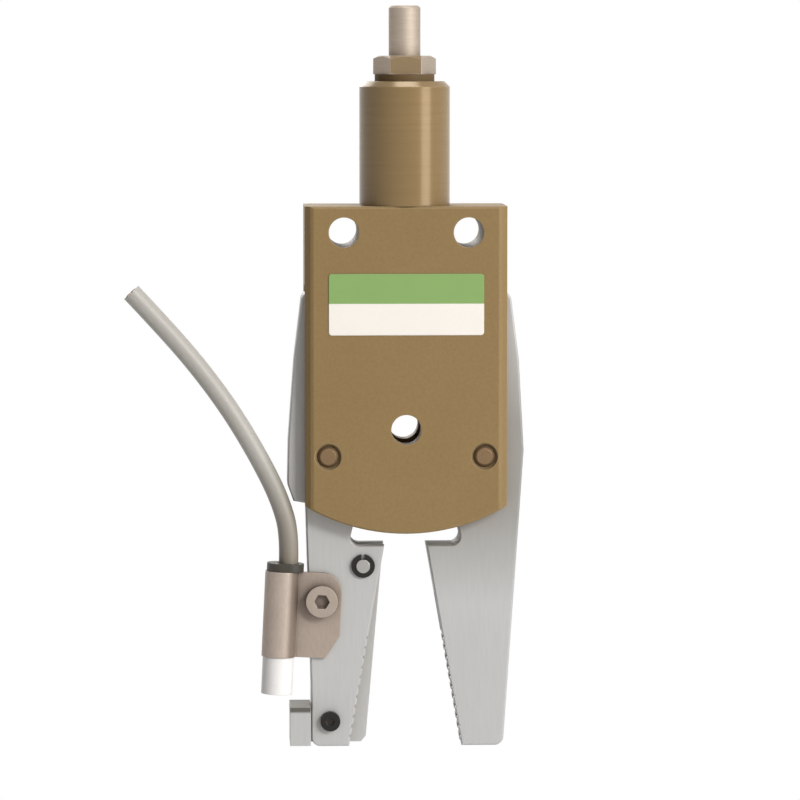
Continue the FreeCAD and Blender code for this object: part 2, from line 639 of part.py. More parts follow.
# Pivots, rollers and the spring that opens the jaws.
for side, sign in (("left", "-"), ("right", "")):
    pivot = f"{sign}pivot_half_span"
    roller = f"{sign}roller_half_span"
    half = "-jaw_thickness / 2"
    pin = turned(f"{side}_pin", [
        ("0", "-body_depth / 2"),
        ("pivot_pin_dia / 2 - pivot_pin_edge", "-body_depth / 2"),
        ("pivot_pin_dia / 2", "-body_depth / 2 + pivot_pin_edge"),
        ("pivot_pin_dia / 2", "body_depth / 2 - pivot_pin_edge"),
        ("pivot_pin_dia / 2 - pivot_pin_edge", "body_depth / 2"),
        ("0", "body_depth / 2"),
    ])
    node(f"{side}_pivot_pin", place(pin, (pivot, "0", "-pivot_drop"), ACROSS, "90"))
    node(f"{side}_pivot_bush", cut(
        f"{side}_bush",
        cylinder(f"{side}_bush_outside", "pivot_bush_dia / 2", "jaw_thickness",
                 (pivot, half, "-pivot_drop"), "y"),
        cylinder(f"{side}_bush_inside", "pivot_pin_dia / 2 + running_gap", "2 * jaw_thickness",
                 (pivot, "-jaw_thickness", "-pivot_drop"), "y")))
    node(f"{side}_roller", cut(
        f"{side}_roll",
        cylinder(f"{side}_roll_outside", "roller_dia / 2", "wedge_depth",
                 (roller, "-wedge_depth / 2", "-roller_drop"), "y"),
        cylinder(f"{side}_roll_inside", "roller_pin_dia / 2 + running_gap", "2 * wedge_depth",
                 (roller, "-wedge_depth", "-roller_drop"), "y")))
    node(f"{side}_roller_pin", cylinder(f"{side}_roll_pin", "roller_pin_dia / 2", "jaw_thickness",
                                        (roller, half, "-roller_drop"), "y"))
node("jaw_spring", coil("jaw_coil", "jaw_spring_mean_dia", "jaw_spring_wire", "jaw_spring_turns",
                        ("-jaw_spring_half", "0", "-jaw_spring_drop"), "2 * jaw_spring_half", "x"))

# Sensing lever, hung in the slot of the left jaw.  Its nose stands out of the gripping edge and a gripped
# sprue presses it back, which swings the wide target head under the sensor.
lever = plate("lever", [
    ("-(lever_half_span - lever_boss_radius)", "-lever_drop"),
    ("-lever_out", "-lever_drop"),
    ("-lever_back", "-lever_slot_step"),
    ("-(flag_in - 3.2)", "-(flag_top_drop - 1.9)"),
    ("-flag_in", "-flag_top_drop"),
    ("-flag_in", "-flag_bottom_drop"),
    ("-(lever_nose + 1.1)", "-flag_bottom_drop"),
    ("-lever_nose", "-(flag_bottom_drop - 1.3)"),
], "lever_thickness")
boss = cylinder("lever_boss", "lever_boss_radius", "lever_thickness",
                ("-lever_half_span", "-lever_thickness / 2", "-lever_drop"), "y")
flag = box("lever_flag", ("-flag_out", "-flag_front", "-flag_bottom_drop"),
           ("-flag_in", "flag_back", "-flag_top_drop"))
lever_tools = [
    cylinder("lever_bore", "lever_pin_dia / 2 + running_gap", "2 * jaw_thickness",
             ("-lever_half_span", "-jaw_thickness", "-lever_drop"), "y"),
    box("stop_slot", ("-stop_half_span", "-lever_thickness", "-stop_slot_drop - stop_room"),
        ("-stop_half_span + stop_travel", "lever_thickness", "-stop_slot_drop + stop_room")),
]
for number, x in enumerate(("-stop_half_span", "-stop_half_span + stop_travel")):
    lever_tools.append(cylinder(f"stop_end_{number}", "stop_room", "2 * lever_thickness",
                                (x, "-lever_thickness", "-stop_slot_drop"), "y"))
node("sensing_lever", cut("lever_cut", fuse("lever_whole", lever, boss, flag), *lever_tools))

# Lever pin with a retaining ring on each end.
pin_grooves = []
rings = []
for side, start in (("front", "-jaw_thickness / 2 - clip_thickness"), ("back", "jaw_thickness / 2")):
    at = ("-lever_half_span", start, "-lever_drop")
    pin_grooves.append(cut(
        f"{side}_groove",
        cylinder(f"{side}_groove_outside", "lever_pin_dia", "clip_thickness", at, "y"),
        cylinder(f"{side}_groove_inside", "clip_groove_dia / 2", "clip_thickness", at, "y")))
    rings.append(cut(
        f"{side}_clip",
        cylinder(f"{side}_clip_outside", "clip_dia / 2", "clip_thickness", at, "y"),
        cylinder(f"{side}_clip_inside", "clip_groove_dia / 2", "clip_thickness", at, "y"),
        box(f"{side}_clip_gap", ("-lever_half_span - clip_gap / 2", start, "-lever_drop"),
            ("-lever_half_span + clip_gap / 2", f"({start}) + clip_thickness", "-lever_drop + clip_dia"))))
lever_rod = cylinder("lever_rod", "lever_pin_dia / 2", "2 * lever_pin_end",
                     ("-lever_half_span", "-lever_pin_end", "-lever_drop"), "y")
node("lever_pin", cut("pin_grooved", lever_rod, *pin_grooves))
node("lever_clips", fuse("clip_pair", *rings))
node("lever_spring", coil("lever_coil", "lever_spring_mean_dia", "lever_spring_wire", "lever_spring_turns",
                          ("-lever_spring_out", "0", "-lever_spring_drop"),
                          "lever_spring_out - lever_back", "x"))


def socket_screw(name, radius, tail, head_radius, head_height, socket, face):
    """A socket head screw along Y, its head standing in front of a face."""
    shaft = cylinder(f"{name}_shaft", radius, f"({tail}) - ({face})", ("0", face, "0"), "y")
    head = cylinder(f"{name}_head", head_radius, head_height,
                    ("0", f"({face}) - ({head_height})", "0"), "y")
    recess = prism(f"{name}_socket", 6, f"({socket}) / sqrt(3)", f"({head_height}) * 0.6 + 1")
    place(recess, ("0", f"({face}) - ({head_height}) - 1", "0"), ACROSS, "-90")
    return cut(name, fuse(f"{name}_whole", shaft, head), recess)


stop = socket_screw("stop", "stop_dia / 2", "jaw_thickness / 2", "stop_head_dia / 2", "stop_head_height",
                    "stop_dia * 0.6", "-jaw_thickness / 2")
node("stop_screw", place(stop, ("-stop_half_span", "0", "-stop_drop")))

# Sensor and its clamp, drawn round the clamp screw and then leaned with the open jaw.


def leaned(item):
    return place(item, ("-clamp_half_span", "0", "-clamp_drop"), BACK, "sensor_tilt")


def on_sensor(name, radius, low, high):
    """A cylinder on the sensor's axis between two heights."""
    return cylinder(name, radius, f"({high}) - ({low})", ("-sensor_offset", "sensor_plane", low))


ear = plate("ear", [
    ("-sensor_offset", "-clamp_below"),
    ("clamp_ear_radius - clamp_corner", "-clamp_below"),
    ("clamp_ear_radius", "-clamp_below + 1.7 * clamp_corner"),
    ("clamp_ear_radius", "ear_rise"),
    ("0", "clamp_above"),
    ("-sensor_offset", "clamp_above"),
], "2 * clamp_sheet")
place(ear, ("0", "sensor_plane", "0"))
ear_top = cylinder("ear_top", "clamp_ear_radius", "2 * clamp_sheet",
                   ("0", "sensor_plane - clamp_sheet", "ear_rise"), "y")
band = on_sensor("band", "sensor_dia / 2 + clamp_sheet", "-clamp_below", "clamp_above")
clamp_bore = on_sensor("clamp_bore", "sensor_dia / 2", "-clamp_below - 1", "clamp_above + 1")
ear_hole = cylinder("ear_hole", "clamp_screw_dia / 2 + 0.1", "jaw_thickness",
                    ("0", "-1.5 * jaw_thickness", "0"), "y")
clamp = cut("clamp_cut", fuse("clamp_whole", band, ear, ear_top), clamp_bore, ear_hole)
node("sensor_clamp", leaned(clamp))
clamp_screw = socket_screw("clamp_bolt", "clamp_screw_dia / 2", "3", "clamp_head_dia / 2",
                           "clamp_head_height", "clamp_socket", "sensor_plane - clamp_sheet")
node("clamp_screw", leaned(clamp_screw))
node("sensor_barrel", leaned(cut(
    "barrel",
    on_sensor("barrel_outside", "sensor_dia / 2", "-clamp_below", "clamp_above"),
    on_sensor("barrel_inside", "sensor_inside", "-clamp_below - 1", "clamp_above + 1"))))
node("sensor_tip", leaned(fuse(
    "tip",
    on_sensor("tip_rod", "sensor_dia / 2 + sensor_tip_rim", "sensor_end", "-clamp_below"),
    on_sensor("tip_plug", "sensor_inside", "-clamp_below", "-clamp_below / 3"))))
cap_parts = [box("cap_block", ("cap_middle - cap_round", "sensor_plane - sensor_dia / 2", "clamp_above"),
                 ("cap_middle + cap_round", "sensor_plane + sensor_dia / 2", "cap_top")),
             on_sensor("cap_plug", "sensor_inside", "clamp_above / 3", "clamp_above")]
for number, mark in enumerate("-+"):
    cap_parts.append(cylinder(f"cap_round_{number}", "sensor_dia / 2", "cap_height",
                              (f"cap_middle {mark} cap_round", "sensor_plane", "clamp_above")))
outlet = cylinder("outlet", "cable_dia / 2 + 0.25", "3", ("-cable_offset", "sensor_plane", "cap_top - 1.2"))
node("sensor_cap", leaned(cut("cap_cut", fuse("cap_whole", *cap_parts), outlet)))

# Cable: straight runs joined by tangent arcs, from the end cap to the bare cut end.
# Each step is outwards and upwards from where the cable leaves the cap.
CABLE_STEPS = [
    (0, 0), (-0.3, 7.1), (1.8, 14.7), (5.9, 23.2), (12.2, 34), (19.7, 44.3), (27.4, 53.2), (34.4, 60.7),
]
outlet_x = value_of("-clamp_half_span - cable_offset * cos(sensor_tilt) + cable_start * sin(sensor_tilt)")
outlet_z = value_of("-clamp_drop + cable_offset * sin(sensor_tilt) + cable_start * cos(sensor_tilt)")
depth_of_cable = value_of("sensor_plane")
route = [FreeCAD.Vector(outlet_x - out, depth_of_cable, outlet_z + up) for out, up in CABLE_STEPS]
edges = []
reached = route[0]
for before, corner, after in zip(route, route[1:], route[2:]):
    into = (corner - before).normalize()
    out = (after - corner).normalize()
    half_turn = into.getAngle(out) / 2
    trim = 0.45 * min((corner - before).Length, (after - corner).Length)
    radius = trim / math.tan(half_turn)
    print(f"cable bend radius {radius:.1f}")
    first = corner - into * trim
    last = corner + out * trim
    inward = (out - into).normalize()
    middle = corner + inward * (radius / math.cos(half_turn) - radius)
    edges.append(Part.LineSegment(reached, first).toShape())
    edges.append(Part.Arc(first, middle, last).toShape())
    reached = last
edges.append(Part.LineSegment(reached, route[-1]).toShape())
cable_line = doc.addObject("Part::Feature", "cable_line")
cable_line.Shape = Part.Wire(edges)
section = bind(doc.addObject("Part::Circle", "cable_section"), Radius="cable_dia / 2")
section.Placement = FreeCAD.Placement(route[0], FreeCAD.Rotation(UP, route[1] - route[0]))
cable = doc.addObject("Part::Sweep", "cable")
cable.Sections = [section]
cable.Spine = (cable_line, [f"Edge{i}" for i in range(1, len(edges) + 1)])
cable.Solid = True
node("sensor_cable", cable)

doc.recompute()
length = cable_line.Shape.Length
ideal = math.pi * value_of("cable_dia / 2") ** 2 * length
print(f"cable length {length:.1f}, volume {cable.Shape.Volume:.1f} against {ideal:.1f}")

for item in doc.Objects:
    if "Invalid" in item.State or "Error" in item.State:
        raise RuntimeError(f"{item.Name} did not build: {item.State}")
os.makedirs("parts", exist_ok=True)
for item in nodes:
    shape = item.Shape
    if shape.isNull() or not shape.isValid() or not shape.Solids:
        raise RuntimeError(f"{item.Label} has no sound solid")
    shape.exportStep(f"parts/{item.Label}.step")
    print(f"{item.Label}: {len(shape.Solids)} solid, {shape.Volume:.1f} mm3")
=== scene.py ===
import math
import bpy
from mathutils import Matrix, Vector


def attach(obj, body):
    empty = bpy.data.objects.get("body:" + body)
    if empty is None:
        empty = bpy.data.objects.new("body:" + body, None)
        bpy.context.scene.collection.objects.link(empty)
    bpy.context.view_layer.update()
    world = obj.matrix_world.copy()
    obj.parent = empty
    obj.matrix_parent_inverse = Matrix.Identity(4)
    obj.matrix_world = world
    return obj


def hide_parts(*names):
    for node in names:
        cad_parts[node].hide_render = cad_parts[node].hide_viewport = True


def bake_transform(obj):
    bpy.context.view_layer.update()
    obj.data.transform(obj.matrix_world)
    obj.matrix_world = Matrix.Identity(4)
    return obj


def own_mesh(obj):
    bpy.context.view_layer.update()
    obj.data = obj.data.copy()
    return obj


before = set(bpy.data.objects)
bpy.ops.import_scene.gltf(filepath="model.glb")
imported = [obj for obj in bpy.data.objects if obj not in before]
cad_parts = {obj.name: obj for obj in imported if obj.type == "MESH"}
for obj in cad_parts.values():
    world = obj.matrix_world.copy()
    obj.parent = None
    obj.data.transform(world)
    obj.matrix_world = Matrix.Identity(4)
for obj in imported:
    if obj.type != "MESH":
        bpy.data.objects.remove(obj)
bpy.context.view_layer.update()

scene = bpy.context.scene
scene.view_settings.view_transform = "Standard"
print("gripper frame loaded:", len(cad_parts), "nodes")


def linked(name, data):
    piece = bpy.data.objects.new(name, data)
    scene.collection.objects.link(piece)
    return piece


# camera: a little left of the gripper, its eye level with the hexagon, long lens
camera = {
    "target": (-0.0010, 0.0, -0.0433),
    "distance": 0.95,
    "azimuth": -2.4,
    "elevation": 4.7,
    "sensor": 36.0,
    "frameWidth": 0.1776,  # metres across the picture at the shank
    "clip": (0.01, 50.0),
}
turn, lift = math.radians(camera["azimuth"]), math.radians(camera["elevation"])
towards = Vector((math.sin(turn) * math.cos(lift), -math.cos(turn) * math.cos(lift), math.sin(lift)))
cameraData = bpy.data.cameras.new("productCamera")
cameraData.sensor_width = camera["sensor"]
cameraData.lens = camera["sensor"] * camera["distance"] / camera["frameWidth"]
cameraData.clip_start, cameraData.clip_end = camera["clip"]
cameraObject = linked("productCamera", cameraData)
cameraObject.location = Vector(camera["target"]) + towards * camera["distance"]
cameraObject.rotation_mode = "QUATERNION"
cameraObject.rotation_quaternion = (-towards).to_track_quat("-Z", "Y")
scene.camera = cameraObject
print("camera placed")


def meshPiece(name, points, faces, smooth=True):
    mesh = bpy.data.meshes.new(name)
    mesh.from_pydata(points, [], faces)
    mesh.validate()
    for face in mesh.polygons:
        face.use_smooth = smooth
    return linked(name, mesh)


# sensor cable: leaves the end cap, runs up beside the body and ends in a bare cut
cable = {
    "route": [
        (-0.02593, -0.0055, -0.07963), (-0.02563, -0.0055, -0.07253), (-0.02773, -0.0055, -0.06493),
        (-0.03183, -0.0055, -0.05643), (-0.03813, -0.0055, -0.04563), (-0.04563, -0.0055, -0.03533),
        (-0.05333, -0.0055, -0.02643), (-0.06033, -0.0055, -0.01893),
    ],
    "diameter": 0.0043,
    "length": 0.0716,
    "cores": 3,
    "firstCore": 90,  # degrees round the cut
    "coreRing": 0.00085,  # middles of the insulated cores
    "coreRadius": 0.00062,
    "coreOut": 0.0001,  # how far they stand out of the cut
    "strandRadius": 0.00034,
    "strandOut": 0.00016,
    "sunk": 0.0004,  # how deep a core starts in the sheath
    "rim": (0.85, 0.8),  # shares of radius and height where a core's edge is broken
    "coreSides": 20,
}
curve = bpy.data.curves.new("sensorCable", "CURVE")
curve.dimensions = "3D"
curve.bevel_depth = 1.0  # each point's radius carries the thickness, so the curve's box stays true
curve.bevel_resolution = 8
curve.resolution_u = 16
curve.use_fill_caps = True
spline = curve.splines.new("NURBS")
spline.points.add(len(cable["route"]) - 1)
for point, at in zip(spline.points, cable["route"]):
    point.co = (*at, 1.0)
    point.radius = cable["diameter"] / 2
spline.order_u = 3
spline.use_endpoint_u = True
sensorCable = linked("sensorCable", curve)
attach(sensorCable, "left_jaw")
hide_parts("sensor_cable")

cutEnd = Vector(cable["route"][-1])
outward = (cutEnd - Vector(cable["route"][-2])).normalized()
sideways = Vector((0, 1, 0))
upward = outward.cross(sideways)


def corePlug(points, faces, middle, rings):
    # a small round plug out of the cut: rings of (radius, height), closed at both ends
    first, sides = len(points), cable["coreSides"]
    for radius, height in rings:
        for step in range(sides):
            angle = 2 * math.pi * step / sides
            rim = sideways * (radius * math.cos(angle)) + upward * (radius * math.sin(angle))
            points.append(middle + rim + outward * height)
    faces.append(tuple(first + step for step in reversed(range(sides))))
    for ring in range(len(rings) - 1):
        low, high = first + ring * sides, first + (ring + 1) * sides
        for step in range(sides):
            follow = (step + 1) % sides
            faces.append((low + step, low + follow, high + follow, high + step))
    faces.append(tuple(first + (len(rings) - 1) * sides + step for step in range(sides)))


corePoints, coreFaces, coreMarks = [], [], []
rimRadius, rimHeight = cable["rim"]
for core in range(cable["cores"]):
    angle = math.radians(cable["firstCore"] + 360 / cable["cores"] * core)
    middle = cutEnd + (sideways * math.cos(angle) + upward * math.sin(angle)) * cable["coreRing"]
    for radius, out, mark in ((cable["coreRadius"], cable["coreOut"], core),
                              (cable["strandRadius"], cable["strandOut"], cable["cores"])):
        rings = [(radius, -cable["sunk"]), (radius, rimHeight * out), (rimRadius * radius, out)]
        corePlug(corePoints, coreFaces, middle, rings)
        coreMarks += [mark] * (len(coreFaces) - len(coreMarks))
cableCores = meshPiece("cableCores", corePoints, coreFaces)
for face, mark in zip(cableCores.data.polygons, coreMarks):
    face.material_index = mark
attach(cableCores, "left_jaw")
print("cable laid:", cable["length"], "m")

# two-tone sticker on the front face, a bare film with rounded corners
sticker = {
    "low": (-0.01705, -0.02825),
    "high": (0.01705, -0.01475),
    "split": -0.0213,  # green above, white below
    "corner": 0.0007,
    "cornerSteps": 6,
    "behind": -0.01,  # on the front face of the body
    "front": -0.0102,
    "softEdge": 0.00007,  # broken edge round the film
}


def stickerHalf(top):
    # outline of one colour, anticlockwise from the front, straight along the split
    (left, bottom), (right, upper) = sticker["low"], sticker["high"]
    corner, steps, split = sticker["corner"], sticker["cornerSteps"], sticker["split"]
    outline = [(right, split)]
    for centreX, start in ((right - corner, 0), (left + corner, 90)):
        for step in range(steps + 1):
            angle = math.radians(start + 90 / steps * step)
            outline.append((centreX + corner * math.cos(angle), upper - corner + corner * math.sin(angle)))
    outline.append((left, split))
    if not top:
        outline = [(x, z if z == split else upper + bottom - z) for x, z in reversed(outline)]
    return outline


stickerPoints, stickerFaces, stickerMarks = [], [], []
stickerMiddle = (sticker["low"][0] + sticker["high"][0]) / 2
stickerLayers = [(sticker["behind"], 0.0), (sticker["front"] + sticker["softEdge"], 0.0),
                 (sticker["front"], sticker["softEdge"])]  # depth and how far the outline is drawn in
for mark, top in enumerate((True, False)):
    outline = stickerHalf(top)
    first, count = len(stickerPoints), len(outline)
    for depth, inset in stickerLayers:
        for x, z in outline:
            drop = 0.0 if z == sticker["split"] else inset if top else -inset
            stickerPoints.append((x - math.copysign(inset, x - stickerMiddle), depth, z - drop))
    for layer in range(len(stickerLayers) - 1):
        for step in range(count - 1):
            a = first + layer * count + step
            stickerFaces.append((a, a + 1, a + 1 + count, a + count))
    stickerFaces.append(tuple(first + (len(stickerLayers) - 1) * count + step for step in range(count)))
    stickerFaces.append(tuple(first + step for step in reversed(range(count))))
    stickerMarks += [mark] * (len(stickerFaces) - len(stickerMarks))
stickerFilm = meshPiece("stickerFilm", stickerPoints, stickerFaces, smooth=False)
for face, mark in zip(stickerFilm.data.polygons, stickerMarks):
    face.material_index = mark
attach(stickerFilm, "body")
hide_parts("label")
print("sticker laid")

# springs: wound wire with closed, ground ends, each fixed to the part it sits in
springs = [
    {"name": "returnCoil", "node": "return_spring", "body": "body", "joint": "piston_slide",
     "axis": "z", "start": (0, 0, -0.008), "length": 0.0227,
     "mean": 0.010, "wire": 0.0012, "turns": 7.0, "keep": 0.736},
    {"name": "leverCoil", "node": "lever_spring", "body": "left_jaw", "joint": "sensing_lever_pivot",
     "axis": "x", "start": (-0.0192, 0, -0.0967), "length": 0.0056,
     "mean": 0.0023, "wire": 0.0004, "turns": 6.5, "keep": 0.762},
]
# opening spring: seated in a pocket of each jaw, so it is wound as two halves
openingSpring = {
    "axis": "x", "start": (-0.0137, 0, -0.0632), "length": 0.0274,
    "mean": 0.005, "wire": 0.0009, "turns": 10.5,
    "mouth": 0.0092,  # where it comes out of its pockets
}
# along the coil, then two ways across it
coilAxes = {"z": ((0, 0, 1), (1, 0, 0), (0, 1, 0)), "x": ((1, 0, 0), (0, 0, -1), (0, 1, 0))}


def woundWire(spring, name, fromTurn, toTurn, sides=12, stepsPerTurn=28):
    along, across, up = (Vector(way) for way in coilAxes[spring["axis"]])
    turns, wire, radius = spring["turns"], spring["wire"], spring["mean"] / 2
    openPitch = (spring["length"] - 3 * wire) / (turns - 2)  # one closed turn at each end
    points, faces = [], []
    steps = round((toTurn - fromTurn) * stepsPerTurn)
    for step in range(steps + 1):
        done = fromTurn + (toTurn - fromTurn) * step / steps
        if done < 1:
            height = wire * done
        elif done > turns - 1:
            height = spring["length"] - wire - wire * (turns - done)
        else:
            height = wire + openPitch * (done - 1)
        angle = 2 * math.pi * done
        outwards = across * math.cos(angle) + up * math.sin(angle)
        centre = Vector(spring["start"]) + outwards * radius + along * (height + wire / 2)
        for side in range(sides):
            roll = 2 * math.pi * side / sides
            points.append(centre + (outwards * math.cos(roll) + along * math.sin(roll)) * (wire / 2))
    for step in range(steps):
        for side in range(sides):
            a, b = step * sides + side, step * sides + (side + 1) % sides
            faces.append((a, a + sides, b + sides, b))
    faces.append(tuple(range(sides)))
    faces.append(tuple(reversed(range(steps * sides, (steps + 1) * sides))))
    return meshPiece(name, points, faces)


springPieces = []
for spring in springs:
    coil = woundWire(spring, spring["name"], 0.0, spring["turns"])
    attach(coil, spring["body"])
    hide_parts(spring["node"])
    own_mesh(coil)
    springPieces.append(coil)
middleTurn, coilHeight = openingSpring["turns"] / 2, openingSpring["start"][2]
for name, jaw, side, turns in (("openingCoilLeft", "left_jaw", -1, (0.0, middleTurn)),
                               ("openingCoilRight", "right_jaw", 1, (middleTurn, openingSpring["turns"]))):
    coil = woundWire(openingSpring, name, *turns)
    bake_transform(coil)
    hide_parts("jaw_spring")
    springPieces.append(coil)
print("springs wound:", len(springPieces))


def hexLinear(code):
    # "#rrggbb" as painted on screen to linear light
    parts = [int(code[i:i + 2], 16) / 255 for i in (1, 3, 5)]
    return tuple(p / 12.92 if p <= 0.04045 else ((p + 0.055) / 1.055) ** 2.4 for p in parts) + (1.0,)


def perMm(size):
    # texture scale whose pattern repeats about every size millimetres
    return 1000.0 / size


def addNode(tree, kind, settings=None, links=None):
    # lower case names are the node's own settings, the rest are its sockets
    made = tree.nodes.new("ShaderNode" + kind)
    for name, value in (settings or {}).items():
        if isinstance(name, str) and name[0].islower():
            setattr(made, name, value)
        else:
            made.inputs[name].default_value = value
    for socket, source in (links or {}).items():
        tree.links.new(source, made.inputs[socket])
    return made


# between which values specks, painted corner shade and rubbed edges come in
finishSpans = {
    "speck": (0.35, 0.75),  # of the grain noise
    "paintedShade": (0.35, 0.95),  # of how open the corner is, 1 on a free face
    "edge": (0.99, 0.86),  # of how square the rounded edge still is to its face
}
# what a finish has unless it says otherwise, a little painted shade in its corners among it
plainFinish = {"stretch": (1, 1, 1), "shadeAndStainBands": [], "sockets": {},
               "paintedShadeMm": 3, "paintedShadeShare": 0.4, "paintedShade": "#4A4034"}


def finish(changes):
    # tone drifts slowly, bands of painted shade darken set places, shade is painted darker into corners and
    # creases, fine grain breaks up the gloss, edges are rounded and rubbed paler
    look = {**plainFinish, **changes}
    made = bpy.data.materials.new(look["name"])
    made.use_nodes = True
    tree = made.node_tree
    tree.nodes.clear()
    place = addNode(tree, "TexCoord").outputs["Object"]
    grainPlace = addNode(tree, "Mapping", {"Scale": look["stretch"]}, {"Vector": place})
    drift = addNode(tree, "TexNoise", {"Scale": perMm(look["driftMm"]), "Detail": 4.0, "Roughness": 0.55},
                    {"Vector": place})
    grain = addNode(tree, "TexNoise", {"Scale": perMm(look["grainMm"]), "Detail": 3.0, "Roughness": 0.6},
                    {"Vector": grainPlace.outputs["Vector"]})
    colours = {6: hexLinear(look["colour"]), 7: hexLinear(look["dark"])}
    toned = addNode(tree, "Mix", {"data_type": "RGBA", **colours}, {0: drift.outputs["Fac"]})
    low, high = finishSpans["speck"]
    speck = addNode(tree, "MapRange",
                    {"From Min": low, "From Max": high, "To Min": 0.0, "To Max": look["speck"]},
                    {"Value": grain.outputs["Fac"]})
    stainsAndShade = addNode(tree, "Mix", {"data_type": "RGBA", 7: hexLinear(look["fleck"])},
                      {0: speck.outputs["Result"], 6: toned.outputs[2]})
    for shadeBand in look["shadeAndStainBands"]:
        # bands of painted shade and of darker tone, each held between pairs of parallel planes (across,
        # middle mm, half mm, soft mm)
        held, most = None, shadeBand["share"]
        for across, middle, half, soft in shadeBand["planes"]:
            offset = addNode(tree, "VectorMath", {"operation": "DOT_PRODUCT", 1: across}, {0: place})
            apart = addNode(tree, "Math", {"operation": "SUBTRACT", 1: middle / 1000},
                            {0: offset.outputs["Value"]})
            away = addNode(tree, "Math", {"operation": "ABSOLUTE"}, {0: apart.outputs["Value"]})
            inside = addNode(tree, "MapRange",
                             {"From Min": half / 1000, "From Max": (half - soft) / 1000,
                              "To Min": 0.0, "To Max": most}, {"Value": away.outputs["Value"]})
            if held is None:
                held, most = inside.outputs["Result"], 1.0
            else:
                both = addNode(tree, "Math", {"operation": "MULTIPLY"},
                               {0: held, 1: inside.outputs["Result"]})
                held = both.outputs["Value"]
        stainsAndShade = addNode(tree, "Mix", {"data_type": "RGBA", 7: hexLinear(shadeBand["tone"])},
                          {0: held, 6: stainsAndShade.outputs[2]})
    # painted shade: the colour turns darker where the ambient-occlusion test finds other surfaces near
    corner = addNode(tree, "AmbientOcclusion", {"samples": 8, "Distance": look["paintedShadeMm"] / 1000})
    low, high = finishSpans["paintedShade"]
    shadeMask = addNode(tree, "MapRange",
                      {"From Min": low, "From Max": high, "To Min": look["paintedShadeShare"], "To Max": 0.0},
                      {"Value": corner.outputs["AO"]})
    shadePainted = addNode(tree, "Mix", {"data_type": "RGBA", 7: hexLinear(look["paintedShade"])},
                     {0: shadeMask.outputs["Result"], 6: stainsAndShade.outputs[2]})
    rounded = addNode(tree, "Bevel", {"samples": 4, "Radius": look["edgeMm"] / 1000})
    facing = addNode(tree, "NewGeometry")
    bend = addNode(tree, "VectorMath", {"operation": "DOT_PRODUCT"},
                   {0: rounded.outputs["Normal"], 1: facing.outputs["Normal"]})
    low, high = finishSpans["edge"]
    edge = addNode(tree, "MapRange",
                   {"From Min": low, "From Max": high, "To Min": 0.0, "To Max": look["wear"]},
                   {"Value": bend.outputs["Value"]})
    rubbed = addNode(tree, "Math", {"operation": "MULTIPLY"},
                     {0: edge.outputs["Result"], 1: drift.outputs["Fac"]})
    colour = addNode(tree, "Mix", {"data_type": "RGBA", 7: hexLinear(look["worn"])},
                     {0: rubbed.outputs["Value"], 6: shadePainted.outputs[2]})
    gloss = addNode(tree, "MapRange", {"To Min": look["rough"][0], "To Max": look["rough"][1]},
                    {"Value": grain.outputs["Fac"]})
    bump = addNode(tree, "Bump", {"Strength": 1.0, "Distance": look["depthMm"] / 1000},
                   {"Height": grain.outputs["Fac"], "Normal": rounded.outputs["Normal"]})
    shader = addNode(tree, "BsdfPrincipled", look["sockets"],
                     {"Base Color": colour.outputs[2], "Roughness": gloss.outputs["Result"],
                      "Normal": bump.outputs["Normal"]})
    addNode(tree, "OutputMaterial", None, {"Surface": shader.outputs["BSDF"]})
    return made


# bead-blasted aluminium under a bronze dye, sealed: satin, warm, the dye thins on the edges
bronzeAnodised = finish({
    "name": "bronzeAnodisedAluminium",
    "colour": "#987D53", "dark": "#8B734B", "fleck": "#7B6540", "worn": "#C9B18B",
    "driftMm": 26, "grainMm": 0.7, "depthMm": 0.004, "speck": 0.35,  # 0.1 mm blast grit, drawn coarser
    "edgeMm": 0.35, "wear": 0.9, "rough": (0.4, 0.54),
    "sockets": {"Metallic": 0.05, "Specular IOR Level": 0.25},
})
# the same dye on a turned shank: fine rings round the axis, one soft bright streak, only a little painted
# corner shade
bronzeTurned = finish({
    "name": "bronzeAnodisedTurned",
    "colour": "#8E744D", "dark": "#826A44", "fleck": "#735C38", "worn": "#CDB48B",
    "driftMm": 30, "grainMm": 0.9, "stretch": (0.06, 0.06, 1.6),  # 0.15 mm turning feed, drawn coarser
    "depthMm": 0.002, "speck": 0.3, "edgeMm": 0.3, "wear": 0.9, "rough": (0.18, 0.25), "paintedShadeShare": 0.1,
    "sockets": {"Metallic": 0.05, "Specular IOR Level": 0.75, "Specular Tint": hexLinear("#F4E2C6")},
})
# milled aluminium plate, tumbled: even pale grey with faint lengthwise cutter marks
jawLook = {
    "name": "tumbledAluminiumPlate",
    "colour": "#C3C2C0", "dark": "#BAB9B7", "fleck": "#ADACAA", "worn": "#E2E1DF",
    "driftMm": 22, "grainMm": 0.8, "stretch": (1.4, 1.0, 0.12),  # 0.2 mm cutter marks, drawn coarser
    "depthMm": 0.003, "speck": 0.25, "edgeMm": 0.25, "wear": 0.8, "rough": (0.42, 0.56),
    "sockets": {"Metallic": 0.3, "Specular IOR Level": 0.3},
    # painted shade within 14 mm of other parts, darkest beside the body
    "paintedShadeMm": 14, "paintedShadeShare": 0.5, "paintedShade": "#857C6C",
}
# painted shade under the body, fading down the fingers, more of it on the plain right jaw; the left jaw also
# gets less painted corner shade
jawShadeBand = {"planes": [((0, 0, 1), -58.0, 30.0, 20.0)], "tone": "#87837D"}
leftAluminium = finish({**jawLook, "paintedShadeShare": 0.2, "shadeAndStainBands": [{**jawShadeBand, "share": 0.12}]})
rightAluminium = finish({**jawLook, "name": "tumbledAluminiumShaded", "shadeAndStainBands": [{**jawShadeBand, "share": 0.65}]})
# the same plate on the lever, with a painted shadow along the top of its lug, where the sensor above shades
# it
lugTopShadow = [((0, 0, 1), -110.4, 1.9, 0.5), ((1, 0, 0), -25.0, 5.0, 0.5)]
leverAluminium = finish({**jawLook, "name": "tumbledAluminiumLever",
                         "shadeAndStainBands": [{"planes": lugTopShadow, "share": 0.95, "tone": "#5A564F"}]})
